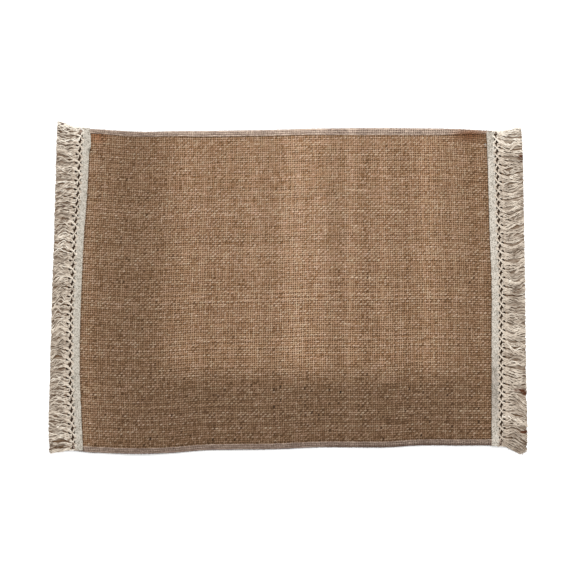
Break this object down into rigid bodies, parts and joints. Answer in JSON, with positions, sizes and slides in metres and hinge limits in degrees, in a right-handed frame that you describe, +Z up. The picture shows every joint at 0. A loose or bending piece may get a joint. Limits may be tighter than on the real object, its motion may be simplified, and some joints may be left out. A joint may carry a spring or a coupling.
{
  "type": "fabric placemat",
  "caption": "Rectangular woven jute placemat lying flat, with overlocked long edges and a cotton tape, openwork and cut fringe trim on each short end.",
  "frame": {"origin": "middle of the mat's footprint, on the surface it lies on", "axes": "+X along the long side towards the right-hand fringe, +Y towards the far long edge, +Z up out of the cloth"},
  "size_m": [0.4522, 0.3175, 0.0037],
  "materials": {
    "jute_cloth": "coarse plain weave of natural brown jute yarn, matt, about twelve yarns to the inch, grey-mauve overlock thread on the long edges",
    "cotton_trim": "undyed ecru cotton, matt: flat woven tape, crossed cords and soft cut yarns"
  },
  "bodies": {
    "root": {"cloth_panel": "jute_cloth", "fringe_trim_left": "cotton_trim", "fringe_trim_right": "cotton_trim"}
  },
  "joints": []
}
